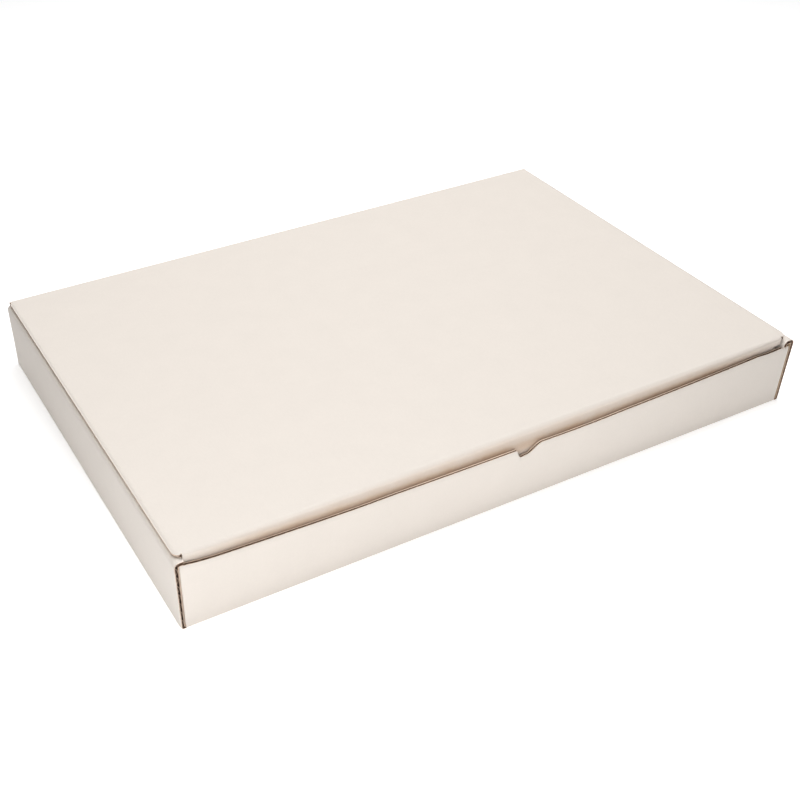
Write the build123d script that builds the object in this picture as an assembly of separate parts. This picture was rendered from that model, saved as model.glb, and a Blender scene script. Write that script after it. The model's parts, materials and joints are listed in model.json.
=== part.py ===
"""A shallow one-piece corrugated box with a hinged lid, in millimetres.

The tray is one folded board: a base, a back wall, a front wall that bows outwards, and two
side walls that roll over the top and lock into slots in the base, round corner flaps that are
folded into their hollow. The lid is the rest of the same board. It turns on the crease along
the back wall's top and ends in a tuck flap, whose roll fills out the bowed front wall.

+X runs along the front, the front looks towards -Y, +Z is up, and the origin is on the
underside of the base, in the middle of the tray.
"""
import os
from math import hypot

from build123d import *

# Outside of the closed box, without the bow of the front wall
LENGTH = 440.0
DEPTH = 306.0
HEIGHT = 51.0

# The board: its thickness, its two liners and the flutes between them, which show as open
# pockets where the board is cut across and as a slit where it is cut along
BOARD = 2.8
LINER = 0.36
FLUTE_PITCH = 6.3
FLUTE_WEB = 0.4
FLUTE_POCKET_DEPTH = 2.5
SLIT_DEPTH = 1.2

# What a crushed crease, a roll and a loose fit leave
FOLD_INSIDE = 0.4
FOLD_RADIUS = 1.3
LAYER_PLAY = 0.15
LID_GAP = 0.3

# Front wall: how far its top edge is below the lid's top, how far it bows out, and the thumb
# notch
FRONT_DROP = 7.0
FRONT_BOW = 5.5
NOTCH_FROM_MIDDLE = -5.9
NOTCH_DEPTH = 6.7
NOTCH_STEEP_RUN = 4.4
NOTCH_FLOOR_RUN = 4.8
NOTCH_SLOPE_RUN = 9.5

# Side walls: how far the foot of each one stands in and its top leans out from there, and the
# part of the roll that the tuck flap passes at the front
FOOT_IN_LEFT = 0.0
FOOT_IN_RIGHT = 0.9
LEAN_LEFT = 0.0
LEAN_RIGHT = 5.0
ROLL_LEFT_AT_FRONT = 5.7
ROLL_RELIEF = 8.5

# Corner flaps inside the side walls
CORNER_FLAP_LENGTH = 72.0
CORNER_FLAP_DROP = 3.0
CORNER_FLAP_CHAMFER = 9.0

# Tabs that lock a side wall's inner panel into the base
TAB_LENGTH = 40.0
TAB_SPACING = 150.0
TAB_END_PLAY = 1.0
TAB_RECESS = 0.3

# Lid panel
LID_INSET_LEFT = 1.8
LID_INSET_RIGHT = 1.0
LID_FRONT_SETBACK = 2.4
LID_CORNER_RADIUS = 6.0
LID_NOTCH_WIDTH = 2.3
LID_NOTCH_DEPTH = 0.8

# Tuck flap: its shoulders at the crease, how far its foot stays above the base, and the
# places of its outer face behind the front of the box at the crease, beside the wall's edge
# and at its foot, first at the ends of the flap and then how much further out in the middle
TUCK_SHOULDER_INSET = 6.7
TUCK_SHOULDER_HEIGHT = 7.0
TUCK_FLOOR_GAP = 11.2
CREASE_BEHIND_FRONT = 1.1
CREASE_SWELL = 3.5
CREASE_RADIUS = 2.0
CREASE_RADIUS_SWELL = 3.2
FOOT_LEAN = 2.1
FOOT_SWELL = 3.6
KNEE_RADIUS = 9.0
TUCK_FLAT_START = 6.0

# Ears folded back from the ends of the tuck flap
EAR_LENGTH = 40.0
EAR_TAPER = 6.0
EAR_CORNER_RADIUS = 5.0

# Worked out from the sizes above
HALF_LENGTH = LENGTH / 2
HALF_DEPTH = DEPTH / 2
FOLD_REACH = FOLD_INSIDE + BOARD
LID_UNDERSIDE = HEIGHT - BOARD
RIM = LID_UNDERSIDE - LID_GAP
FRONT_HEIGHT = HEIGHT - FRONT_DROP
WALL_HOLLOW = BOARD + 2 * LAYER_PLAY
SIDE_THICKNESS = 2 * BOARD + WALL_HOLLOW
FLAP_OUTER_X = HALF_LENGTH - BOARD - LAYER_PLAY
FLAT_END_X = FLAP_OUTER_X - FOLD_REACH
INNER_FACE_X = HALF_LENGTH - SIDE_THICKNESS
FRONT_Y = -HALF_DEPTH
FRONT_INNER_Y = FRONT_Y + BOARD
HINGE_Y = HALF_DEPTH - BOARD / 2
HINGE_Z = HEIGHT - BOARD / 2
LID_LEFT = LID_INSET_LEFT - HALF_LENGTH
LID_RIGHT = HALF_LENGTH - LID_INSET_RIGHT
TUCK_HALF = HALF_LENGTH - TUCK_SHOULDER_INSET
EAR_OUTER_X = INNER_FACE_X - LID_GAP
KNEE_Z = FRONT_HEIGHT
FOOT_Z = BOARD + TUCK_FLOOR_GAP
LEANS = {-1: LEAN_LEFT, 1: LEAN_RIGHT}
FEET_IN = {-1: FOOT_IN_LEFT, 1: FOOT_IN_RIGHT}


def lean_at(side, z):
    """How far to the right the wall on one side has moved at a height."""
    return side * (LEANS[side] * z / RIM - FEET_IN[side])


def mitred(points, distance):
    """The corners of a polyline moved to its right-hand side by a distance."""
    shifted = []
    for i, (x, y) in enumerate(points):
        before = points[max(i - 1, 0)]
        after = points[min(i + 1, len(points) - 1)]
        normals = []
        for start, end in ((before, (x, y)), ((x, y), after)):
            run = hypot(end[0] - start[0], end[1] - start[1])
            if run > 0:
                normals.append(((end[1] - start[1]) / run, -(end[0] - start[0]) / run))
        nx = sum(n[0] for n in normals) / len(normals)
        ny = sum(n[1] for n in normals) / len(normals)
        scale = distance / (nx * nx + ny * ny)
        shifted.append((x + nx * scale, y + ny * scale))
    return shifted


def band(points, radii, plane, inner_on_right=True):
    """A board's section: its outer face along rounded points, and its thickness behind."""
    distance = BOARD if inner_on_right else -BOARD
    inner = mitred(points, distance)
    inner_radii = [max(r - BOARD, FOLD_INSIDE) for r in radii]
    outer_path = FilletPolyline(*points, radius=radii)
    inner_path = FilletPolyline(*inner, radius=inner_radii)
    caps = [Line(points[0], inner[0]), Line(points[-1], inner[-1])]
    return plane * make_face(outer_path.edges() + inner_path.edges() + caps)


def flute_mouths(middle):
    """The open ends of the flutes along the middle of a cut edge, with their places on it.

    Each one is a triangle that stands on the one liner or the other in turn.
    """
    hollow = BOARD - 2 * LINER
    base = FLUTE_PITCH - FLUTE_WEB
    last = 2 * int(middle.length / FLUTE_PITCH) - 2
    mouths = []
    for i in range(last + 1):
        part = 0.5 + (i - last / 2) * FLUTE_PITCH / 2 / middle.length
        place = middle @ part
        along = middle % part
        up = Vector(-along.Y, along.X) * (-1) ** i
        foot = place - up * (hollow / 2)
        half_base = along * (base / 2)
        tip = foot + up * (hollow * base / FLUTE_PITCH)
        mouths.append((place, make_face(Polyline(foot - half_base, foot + half_base, tip, close=True))))
    return mouths


def side_wall(side):
    """Outer panel, roll and inner panel of one side, folded up from the base."""
    outer_x = side * HALF_LENGTH
    inner_x = side * INNER_FACE_X
    foot_z = BOARD + LAYER_PLAY
    path = [
        (outer_x - side * (FOLD_REACH + LAYER_PLAY) + lean_at(side, 0), 0),
        (outer_x + lean_at(side, 0), 0),
        (outer_x + lean_at(side, RIM), RIM),
        (inner_x + lean_at(side, RIM), RIM),
        (inner_x + lean_at(side, foot_z), foot_z),
    ]
    radii = [FOLD_RADIUS, FOLD_REACH, FOLD_REACH]
    section = band(path, radii, Plane.XZ, inner_on_right=side < 0)
    wall = extrude(section, amount=HALF_DEPTH, both=True)

    # The outer panel is cut across its flutes at both ends
    middle_x = outer_x - side * BOARD / 2
    low = FOLD_REACH
    high = RIM - FOLD_REACH
    panel_middle = Line((middle_x + lean_at(side, low), low), (middle_x + lean_at(side, high), high))
    for facing in (-1, 1):
        end_plane = Plane.XZ.offset(facing * HALF_DEPTH)
        wall -= [
            extrude(end_plane * face, amount=FLUTE_POCKET_DEPTH, both=True)
            for _, face in flute_mouths(panel_middle)
        ]

    # The tuck flap passes in front of the inner panel, and the back wall stands behind it
    reach_in = SIDE_THICKNESS + BOARD
    cut_x = HALF_LENGTH - ROLL_LEFT_AT_FRONT
    wall -= Pos(side * (cut_x - reach_in / 2), FRONT_Y + ROLL_RELIEF / 2, HEIGHT / 2 + BOARD) * Box(
        reach_in, ROLL_RELIEF, HEIGHT
    )
    back_gap = BOARD + LAYER_PLAY
    wall -= Pos(
        side * (FLAP_OUTER_X - BOARD - LAYER_PLAY - reach_in / 2),
        HALF_DEPTH - back_gap / 2,
        HEIGHT / 2 + BOARD - FOLD_REACH,
    ) * Box(reach_in, back_gap, HEIGHT)
    return wall


def lock_tabs(side):
    """Tabs on the foot of an inner panel, which stand in the slots of the base."""
    middle_x = side * (INNER_FACE_X + BOARD / 2) + lean_at(side, BOARD)
    height = BOARD + 2 * LAYER_PLAY - TAB_RECESS
    tab = Box(BOARD, TAB_LENGTH, height)
    places = GridLocations(0, TAB_SPACING, 1, 2)
    return [Pos(middle_x, 0, TAB_RECESS + height / 2) * place * tab for place in places]


def slots(side):
    """Slots in the base for the lock tabs of one side."""
    middle_x = side * (INNER_FACE_X + BOARD / 2) + lean_at(side, BOARD)
    slot = Box(BOARD + 2 * LAYER_PLAY, TAB_LENGTH + 2 * TAB_END_PLAY, 3 * BOARD)
    return [Pos(middle_x, 0, BOARD / 2) * place * slot for place in GridLocations(0, TAB_SPACING, 1, 2)]


def base_panel():
    """The base, between the folds of the four walls."""
    base = Pos(0, 0, BOARD / 2) * Box(
        2 * (HALF_LENGTH - FOLD_REACH), 2 * (HALF_DEPTH - FOLD_REACH), BOARD
    )
    for side in (-1, 1):
        for slot in slots(side):
            base -= slot
    return base


def end_wall(facing, height, bow):
    """A front or back wall from its fold to its top edge, which may bow outwards."""
    face_y = facing * HALF_DEPTH
    inner_y = facing * (HALF_DEPTH - BOARD)
    fold_path = [
        (face_y - facing * (FOLD_REACH + LAYER_PLAY), 0),
        (face_y, 0),
        (face_y, FOLD_REACH + LAYER_PLAY),
    ]
    fold = extrude(
        band(fold_path, [FOLD_RADIUS], Plane.YZ, inner_on_right=facing < 0),
        amount=HALF_LENGTH - FOLD_REACH,
        both=True,
    )

    def strip(z, depth_of_bow):
        left = -FLAT_END_X + lean_at(-1, z)
        right = FLAT_END_X + lean_at(1, z)
        middle = (left + right) / 2
        if depth_of_bow:
            outer = ThreePointArc((left, face_y), (middle, face_y + facing * depth_of_bow), (right, face_y))
            inner = ThreePointArc((left, inner_y), (middle, inner_y + facing * depth_of_bow), (right, inner_y))
        else:
            outer = Line((left, face_y), (right, face_y))
            inner = Line((left, inner_y), (right, inner_y))
        ends = [Line((left, face_y), (left, inner_y)), Line((right, face_y), (right, inner_y))]
        return Pos(0, 0, z) * make_face(outer.edges() + inner.edges() + ends)

    wall = fold + loft([strip(FOLD_REACH, 0), strip(height, bow)], ruled=True)
    for side in (-1, 1):
        wall += corner_flap(side, facing, height)
    return wall


def corner_flap(side, facing, height):
    """The fold at the end of a front or back wall, and the flap inside the side wall."""
    outer_x = side * FLAP_OUTER_X
    face_y = facing * HALF_DEPTH
    path = [
        (outer_x - side * (FOLD_REACH + LAYER_PLAY), face_y),
        (outer_x, face_y),
        (outer_x, face_y - facing * CORNER_FLAP_LENGTH),
    ]
    section = band(path, [FOLD_RADIUS], Plane.XY, inner_on_right=side * facing > 0)
    rise = Vector(side * LEANS[side], 0, RIM)
    low = FOLD_REACH
    flap = extrude(Pos(lean_at(side, low), 0, low) * section, amount=(height - low) * rise.length / RIM, dir=rise)

    # The flap is lower than the wall and its free corners are cut off
    top = RIM - BOARD - CORNER_FLAP_DROP
    end_y = face_y - facing * CORNER_FLAP_LENGTH
    start_y = face_y - facing * FOLD_REACH
    outline = Polyline(
        (start_y, height + BOARD),
        (start_y, top),
        (end_y + facing * CORNER_FLAP_CHAMFER, top),
        (end_y, top - CORNER_FLAP_CHAMFER),
        (end_y - facing * BOARD, top - CORNER_FLAP_CHAMFER),
        (end_y - facing * BOARD, height + BOARD),
        close=True,
    )
    above = Plane.YZ * make_face(outline)
    return flap - extrude(above, amount=2 * LENGTH, both=True)


def thumb_notch():
    """The notch in the front wall's top edge: a steep side, a round floor and a long slope."""
    left = NOTCH_FROM_MIDDLE
    floor_z = FRONT_HEIGHT - NOTCH_DEPTH
    floor_start = left + NOTCH_STEEP_RUN
    floor_end = floor_start + NOTCH_FLOOR_RUN
    right = floor_end + NOTCH_SLOPE_RUN
    steep = Spline(
        (left, FRONT_HEIGHT),
        (floor_start, floor_z),
        tangents=[(1, -2.2), (1, 0)],
    )
    floor = Line((floor_start, floor_z), (floor_end, floor_z + NOTCH_DEPTH * 0.12))
    slope = Spline(
        (floor_end, floor_z + NOTCH_DEPTH * 0.12),
        (right, FRONT_HEIGHT),
        tangents=[(1, 0.35), (1, 0.05)],
    )
    lid = Polyline((right, FRONT_HEIGHT), (right, HEIGHT), (left, HEIGHT), (left, FRONT_HEIGHT))
    face = make_face(steep.edges() + floor.edges() + slope.edges() + lid.edges())
    cut = extrude(Plane.XZ.offset(HALF_DEPTH - 2 * BOARD) * face, amount=2 * BOARD + 2 * FRONT_BOW)
    return cut


def front_flutes():
    """The open flutes of the front wall's top edge, which go on below the thumb notch."""
    left, right = (side * FLAT_END_X + lean_at(side, FRONT_HEIGHT) for side in (-1, 1))
    middle_x = (left + right) / 2
    middle_y = (FRONT_Y + FRONT_INNER_Y) / 2
    edge = ThreePointArc((left, middle_y), (middle_x, middle_y - FRONT_BOW), (right, middle_y))
    notch_end = NOTCH_FROM_MIDDLE + NOTCH_STEEP_RUN + NOTCH_FLOOR_RUN + NOTCH_SLOPE_RUN
    pockets = []
    for place, face in flute_mouths(edge):
        fall = Vector(0, middle_y - place.Y, FOLD_REACH - FRONT_HEIGHT)
        in_notch = NOTCH_FROM_MIDDLE - FLUTE_PITCH < place.X < notch_end
        depth = FLUTE_POCKET_DEPTH + (NOTCH_DEPTH if in_notch else 0)
        pockets.append(extrude(Pos(0, 0, FRONT_HEIGHT) * face, amount=depth, dir=fall))
    return pockets


def tray():
    """Base, walls, corner flaps and lock tabs, which are all one board."""
    body = base_panel()
    for side in (-1, 1):
        body += side_wall(side)
        for tab in lock_tabs(side):
            body += tab
    body += end_wall(1, RIM, 0)
    body += end_wall(-1, FRONT_HEIGHT, FRONT_BOW) - front_flutes() - thumb_notch()
    return body


def swell(x):
    """How much of the bow there is at a place along the front: all in the middle, none at the ends."""
    return 1 - (x / TUCK_HALF) ** 2


def tuck_points(x):
    """The outer face of the tuck flap's section at x: crease, knee beside the wall's edge, foot."""
    part = swell(x)
    crease_y = FRONT_Y + CREASE_BEHIND_FRONT - CREASE_SWELL * part
    knee_y = FRONT_INNER_Y + LID_GAP + LAYER_PLAY - FRONT_BOW * part
    foot_y = FRONT_INNER_Y + LID_GAP + LAYER_PLAY + FOOT_LEAN - FOOT_SWELL * part
    return [(FRONT_Y + TUCK_FLAT_START, HEIGHT), (crease_y, HEIGHT), (knee_y, KNEE_Z), (foot_y, FOOT_Z)]


def tuck_section(x):
    """The tuck flap's section at one place along the front."""
    radii = [CREASE_RADIUS + CREASE_RADIUS_SWELL * swell(x), KNEE_RADIUS]
    return band(tuck_points(x), radii, Plane.YZ.offset(x), inner_on_right=False)


def tuck_flap():
    """The roll and the panel behind the front wall, lofted along the bow."""
    stations = [TUCK_HALF * step / 3 for step in range(-3, 4)]
    flap = loft([tuck_section(x) for x in stations])
    # Below the shoulders the flap is narrower, and its ears start there
    low = HEIGHT - TUCK_SHOULDER_HEIGHT
    for side in (-1, 1):
        end_x = EAR_OUTER_X - FOLD_REACH
        flap -= Pos(side * (end_x + BOARD * 2), FRONT_Y + BOARD * 2, low - HEIGHT / 2) * Box(
            4 * BOARD, 8 * BOARD, HEIGHT
        )
        flap += ear(side)
    return flap


def ear(side):
    """An ear of the tuck flap, folded back along the side wall's inner panel."""
    end_x = EAR_OUTER_X - FOLD_REACH
    knee, foot = tuck_points(end_x)[2:]
    top_z = HEIGHT - TUCK_SHOULDER_HEIGHT + BOARD / 2
    outer_x = side * EAR_OUTER_X
    path = [
        (side * (end_x - BOARD), 0),
        (outer_x, 0),
        (outer_x, EAR_LENGTH),
    ]
    section = band(path, [FOLD_RADIUS], Plane.XY, inner_on_right=side < 0)
    slope = (foot[0] - knee[0]) / (knee[1] - foot[1])
    start_y = knee[0] + slope * (knee[1] - top_z)
    fall = Vector(0, slope, -1)
    solid = extrude(
        Pos(0, start_y, top_z) * section, amount=(top_z - FOOT_Z) * fall.length, dir=fall
    )
    back_y = start_y + EAR_LENGTH
    outline = Polyline(
        (start_y - BOARD, top_z),
        (start_y + BOARD, top_z),
        (back_y, top_z - EAR_TAPER),
        (back_y, FOOT_Z + EAR_TAPER),
        (start_y + 2 * BOARD, FOOT_Z),
        (start_y - BOARD, FOOT_Z),
        close=True,
    )
    face = make_face(outline)
    rear = face.vertices().sort_by(Axis.X)[-2:]
    face = fillet(rear, EAR_CORNER_RADIUS)
    return solid & extrude(Plane.YZ * face, amount=LENGTH, both=True)


def lid_panel():
    """The flat lid with rounded front corners, and the round crease that it turns on."""
    width = LID_RIGHT - LID_LEFT
    middle_x = (LID_LEFT + LID_RIGHT) / 2
    front_y = FRONT_Y + LID_FRONT_SETBACK
    outline = Rectangle(width, HINGE_Y - front_y)
    outline = Pos(middle_x, (HINGE_Y + front_y) / 2) * fillet(
        outline.vertices().sort_by(Axis.Y)[:2], LID_CORNER_RADIUS
    )
    roll_start = FRONT_Y + TUCK_FLAT_START
    outline -= Pos(0, roll_start - HALF_DEPTH / 2) * Rectangle(2 * TUCK_HALF, HALF_DEPTH)
    for side in (-1, 1):
        notch = Polyline(
            (side * TUCK_HALF, front_y + LID_NOTCH_DEPTH),
            (side * (TUCK_HALF + LID_NOTCH_WIDTH), front_y - BOARD),
            (side * TUCK_HALF, front_y - BOARD),
            close=True,
        )
        outline -= make_face(notch)
    panel = Pos(0, 0, LID_UNDERSIDE) * extrude(outline, amount=BOARD)
    slit_start = front_y + LID_CORNER_RADIUS
    slit_length = HINGE_Y - BOARD - slit_start
    for edge_x in (LID_LEFT, LID_RIGHT):
        panel -= Pos(edge_x, slit_start + slit_length / 2, LID_UNDERSIDE + BOARD / 2) * Box(
            2 * SLIT_DEPTH, slit_length, BOARD - 2 * LINER
        )
    crease = Pos(middle_x, HINGE_Y, HINGE_Z) * Rot(0, 90, 0) * Cylinder(BOARD / 2, width)
    return panel + crease


def lid():
    """Lid panel and tuck flap, which are one board."""
    return lid_panel() + tuck_flap()


os.makedirs("parts", exist_ok=True)
for name, build in (("tray", tray), ("lid", lid)):
    part = build()
    export_step(part, f"parts/{name}.step")
    print(name, len(part.solids()), round(part.volume), part.bounding_box())
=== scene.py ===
import json
import math

import bpy
import numpy as np
from bpy.props import FloatProperty, FloatVectorProperty, PointerProperty
from mathutils import Matrix, Vector


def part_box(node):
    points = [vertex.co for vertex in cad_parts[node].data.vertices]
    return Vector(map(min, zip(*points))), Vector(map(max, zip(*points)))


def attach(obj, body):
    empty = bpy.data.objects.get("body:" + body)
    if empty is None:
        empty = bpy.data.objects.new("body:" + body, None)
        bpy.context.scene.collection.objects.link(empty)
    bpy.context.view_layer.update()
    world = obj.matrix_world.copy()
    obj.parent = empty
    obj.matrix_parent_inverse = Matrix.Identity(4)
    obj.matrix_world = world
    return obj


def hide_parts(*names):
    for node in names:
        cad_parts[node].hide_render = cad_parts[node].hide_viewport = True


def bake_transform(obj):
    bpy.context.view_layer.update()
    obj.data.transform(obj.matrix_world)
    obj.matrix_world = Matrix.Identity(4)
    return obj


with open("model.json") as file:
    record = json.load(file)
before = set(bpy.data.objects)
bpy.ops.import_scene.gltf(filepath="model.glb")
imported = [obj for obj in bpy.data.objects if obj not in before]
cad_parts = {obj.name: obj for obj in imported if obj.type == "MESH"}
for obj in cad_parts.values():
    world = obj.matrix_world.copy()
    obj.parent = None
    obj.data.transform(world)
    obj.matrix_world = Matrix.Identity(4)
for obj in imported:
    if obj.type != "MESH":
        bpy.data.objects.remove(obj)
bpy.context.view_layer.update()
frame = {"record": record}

bl_info = {
    "name": "Corrugated Box",
    "version": (1, 0, 0),
    "blender": (4, 5, 0),
    "location": "3D View > Sidebar > Box",
    "description": "Folds a shallow corrugated box from liners and fluting around its solid model",
    "category": "Object",
}

MM = 0.001
TRAY_LOW, TRAY_HIGH = (np.array(corner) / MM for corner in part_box("tray"))
LID_LOW, LID_HIGH = (np.array(corner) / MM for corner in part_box("lid"))
HINGE = np.array(frame["record"]["behaviour"]["joints"][0]["pos_m"]) / MM

# Sizes read from the solid model, in millimetres
HALF_LENGTH = -TRAY_LOW[0]
HALF_DEPTH = TRAY_HIGH[1]
HEIGHT = LID_HIGH[2]
RIM = TRAY_HIGH[2]
BOARD = 2 * (HEIGHT - HINGE[2])
LID_LEFT, LID_RIGHT = LID_LOW[0], LID_HIGH[0]
TUCK_FOOT = LID_LOW[2]
LID_GAP = HEIGHT - BOARD - RIM
FRONT_Y = -HALF_DEPTH
FRONT_BOW = -TRAY_LOW[1] - HALF_DEPTH

# How the board is folded
FOLD_INSIDE = 0.4
FOLD_REACH = FOLD_INSIDE + BOARD
ROLL_RADIUS = 3.2
LAYER_PLAY = 0.15
SIDE_THICKNESS = 3 * BOARD + 2 * LAYER_PLAY
FLAP_OUTER_X = HALF_LENGTH - BOARD - LAYER_PLAY
FLAT_END_X = FLAP_OUTER_X - FOLD_REACH
INNER_FACE_X = HALF_LENGTH - SIDE_THICKNESS
EAR_OUTER_X = INNER_FACE_X - LID_GAP
# Smallest inside radius of the lid's bends
LID_BEND = 0.3
# Part of half the fluted paper's thickness that stays out of the liners
FLUTE_OUT = 0.6
# How far the lid's fluting stays behind its sides, and the back crease's papers behind its ends
SIDE_RECESS = 1.2
STRIP_INSET = 0.3

# How the side walls' ends at the top, the lid's sides and the flap's are pressed, times the edge crush
TOP_CRUSH = 0.15
LID_CRUSH = 0.6
FLAP_CRUSH = 0.3

# Rubbed paper with painted shade on the roll, darker and browner down towards the gap at the front
# wall: its start behind the crease and run, the start and reach of its fade below the lid, and its
# strength at the top, what it gains below, and how far down it has gained that
RUB_SHADE_AHEAD, RUB_SHADE_RUN = 0.3, 3
FADE_START, FADE_REACH = 8, 5
RUB_SHADE_LEAST, RUB_SHADE_MORE, RUB_SHADE_DEPTH = 0.1, 0.8, 6

# Thumb notch: its floor's rise as a part of its depth, its slope's bend, and its columns
NOTCH_RISE = 0.12
NOTCH_EASE = 0.8
NOTCH_MARKS = np.arange(-1.0, 21.0, 0.4)

# Grids: the width of a jump between edges, the rows near a cut edge, and the angle of a sharp edge
JUMP = 0.02
NEAR_EDGE = np.array([0.35, 0.8, 1.4, 2.2, 3.4, 5.0])
SHARP_ANGLE = 40

# The camera, solved from the photograph's straight edges in its frame of 800 by 800 pixels
PHOTO_WIDTH = 800
LENS_AXIS_PIXEL = (376.77, 367.24)
FOCAL_PIXELS = 1276.0
SENSOR = 36.0
CAMERA_PLACE = (-373.4, -641.2, 504.4)
CAMERA_AZIMUTH = -29.54
CAMERA_ELEVATION = 33.60
CAMERA_ROLL = -0.27
CLIP_NEAR, CLIP_FAR = 0.05, 30.0

# The softboxes: where each stands, the point it looks at and its side, in metres
SOFTBOXES = {
    "above": ((0.05, 0.25, 1.3), (0.0, 0.0, 0.0), 1.2),
    "right": ((0.6, 0.1, 1.2), (0.0, 0.0, 0.0), 1.0),
    "front": ((-0.4, -0.6, 0.35), (-0.15, -0.1, 0.02), 0.5),
}
WORLD_STRENGTH = 0.02
# Half the side of the floor, in metres
FLOOR_REACH = 8.0

# Each paper's colour, blotches, fibres, ridges, roughness and relief
PAPERS = {
    "white_liner": ("white", 0.05, 0.05, 0.25, 0.62, 0.35),
    "kraft_liner": ("kraft", 0.25, 0.25, 0.35, 0.75, 0.5),
    "cut_edge": ("edge", 0.3, 0.3, 0.0, 0.85, 0.5),
    "fluting": ("fluting", 0.3, 0.3, 0.0, 0.85, 0.5),
}
# The paper on each layer's outer face, inner face and edges; the liners' faces towards the fluting take
# the dark fluting paper as painted shade of the flute hollows
FACES = {
    "outer": ("white_liner", "fluting", "cut_edge"),
    "fluting": ("fluting", "fluting", "cut_edge"),
    "inner": ("fluting", "kraft_liner", "cut_edge"),
}
# How much fibres and blotches add to a paper's relief next to its ridges, and the relief's depth
FIBRE_RELIEF, BLOTCH_RELIEF = 0.35, 0.5
RELIEF_DEPTH = 0.1
NOISE_MEAN = 0.5


def length(name, text, default, low=0.0, high=600.0):
    """A length of the box as a property, in millimetres."""
    return FloatProperty(name=name, description=text, default=float(default), min=low, max=high)


def colour(name, text, default):
    """A colour as a property."""
    return FloatVectorProperty(
        name=name, description=text, subtype="COLOR", size=3, default=default, min=0.0, max=1.0
    )


def power(name, text, default):
    """A light's strength as a property."""
    return FloatProperty(name=name, description=text, default=default, min=0.0)


def box(group):
    """One group of the box's sizes, colours or lights, as they are set in the scene."""
    return getattr(bpy.context.scene, "box_" + group)


class BoardSizes(bpy.types.PropertyGroup):
    """Sizes of the corrugated board, in millimetres"""

    pitch: length("Flute pitch", "Distance from one flute to the next", 6.3)
    liner: length("Liner", "Thickness of the paper on each face", 0.42)
    medium: length("Fluting", "Thickness of the fluted paper", 0.24)
    fold: length("Fold radius", "Outside radius of a creased fold", 1.3)
    recess: length("Fluting recess", "How far the fluting stays behind a cut edge", 0.8)
    crush: length("Edge crush", "How far each face is pressed in along a cut edge", 0.55)
    crush_run: length("Crush run", "How far the pressed zone reaches from a cut edge", 1.2)


class TraySizes(bpy.types.PropertyGroup):
    """Sizes of the tray, in millimetres"""

    front_height: length("Front height", "Top edge of the front wall above the floor", 44.0)
    foot_in: length("Right foot", "How far in the right wall stands at its foot", 0.9)
    lean: length("Right lean", "How far out the right wall's top leans from its foot", 5.0)
    corner_fold: length("Corner fold", "Outside radius of the folds at the front wall's ends", 0.8)
    front_crush: length("Front crush", "Part of the edge crush that the front wall's top has", 0.6)
    front_fray: length("Front fray", "How many times as thick the front wall's inner liner is", 2.2)
    corner_rise: length("Corner rise", "How far the edge rises at its left end", 1.0)
    left_dip: length("Left dip", "How far the left part of the front wall's edge dips", 0.65)
    middle_dip: length("Middle dip", "How far the edge dips beside the notch", 0.4)
    right_dip: length("Right dip", "How far the right end of the edge dips", 0.9)
    front_bow: length("Front bow", "How far the middle of the front wall's top bows out", FRONT_BOW)
    notch_start: length("Notch start", "Left end of the thumb notch from the middle", -5.9, low=-100.0)
    notch_depth: length("Notch depth", "Depth of the thumb notch", 6.7)
    notch_steep: length("Notch steep side", "Run of the notch's steep left side", 4.4)
    notch_floor: length("Notch floor", "Run of the notch's floor", 4.8)
    notch_slope: length("Notch slope", "Run of the notch's long right slope", 9.5)
    foot_crush: length("Foot crush", "How much more the side walls' ends are pressed at the foot", 0.8)
    roll_at_front: length("Roll at the front", "Part of the roll that reaches the front", 5.7)
    relief: length("Relief", "How far behind the front the inner panels start", 8.5)
    flap_length: length("Corner flap", "Length of a corner flap", 72.0)
    flap_drop: length("Flap drop", "How far a corner flap stays below the roll", 3.0)
    flap_chamfer: length("Flap chamfer", "Cut on a corner flap's free corner", 9.0)
    tab_length: length("Lock tab", "Length of a lock tab", 40.0)
    tab_spacing: length("Tab spacing", "Distance between the lock tabs' middles", 150.0)
    tab_play: length("Tab play", "Play at each end of a lock tab", 1.0)
    tab_recess: length("Tab recess", "How far a tab's end stays above the floor", 0.3)


class LidSizes(bpy.types.PropertyGroup):
    """Sizes of the lid, in millimetres"""

    setback: length("Setback", "Lid's front edge behind the front wall's face", 2.4)
    corner: length("Corner radius", "Radius of the lid's front corners", 6.0)
    notch_width: length("Notch width", "Width of the notch beside the tuck flap", 2.3)
    notch_depth: length("Notch depth", "Depth of the notch beside the tuck flap", 0.8)
    left_crush: length("Left crush", "How much more the left edge is pressed, times the edge crush", 0.7)
    corner_crush: length("Corner crush", "How much more than that it is pressed at the front", 0.6)
    shoulder_inset: length("Shoulder inset", "Tuck flap's end inside the box's side", 6.1)
    shoulder_height: length("Shoulder height", "Height of the tuck flap's wide part", 7.0)
    crease: length("Crease", "Where the flat lid ends behind the front", 3.0)
    crease_radius: length("Crease radius", "Outside radius of the crease at its ends", 1.3)
    crease_swell: length("Crease swell", "How much rounder the crease is in the middle", 2.0)
    slope: length("Slope", "How far down the roll slopes for each millimetre forwards", 0.58)
    brow: length("Brow", "Roll's outer corner behind the front, at its ends", 1.9)
    brow_swell: length("Brow swell", "How much further out it is in the middle", 3.7)
    brow_radius: length("Brow radius", "Outside radius of the brow at its ends", 1.0)
    radius_swell: length("Radius swell", "How much rounder the brow is in the middle", 3.5)
    foot_lean: length("Foot lean", "How far the flap's foot leans inwards", 2.1)
    foot_swell: length("Foot swell", "How much further out the foot is in the middle", 3.6)
    knee_height: length("Knee height", "Where the flap comes to lie along the front wall", 43.0)
    knee_gap: length("Knee gap", "Gap between the flap and the front wall there", 0.2)
    knee_radius: length("Knee radius", "Radius of the bend below the roll", 5.0)
    ear_length: length("Ear length", "Length of the ears behind the tuck flap", 40.0)
    ear_taper: length("Ear taper", "How much an ear's edges close in", 6.0)
    ear_corner: length("Ear corner", "Radius of an ear's free corners", 5.0)


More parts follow.
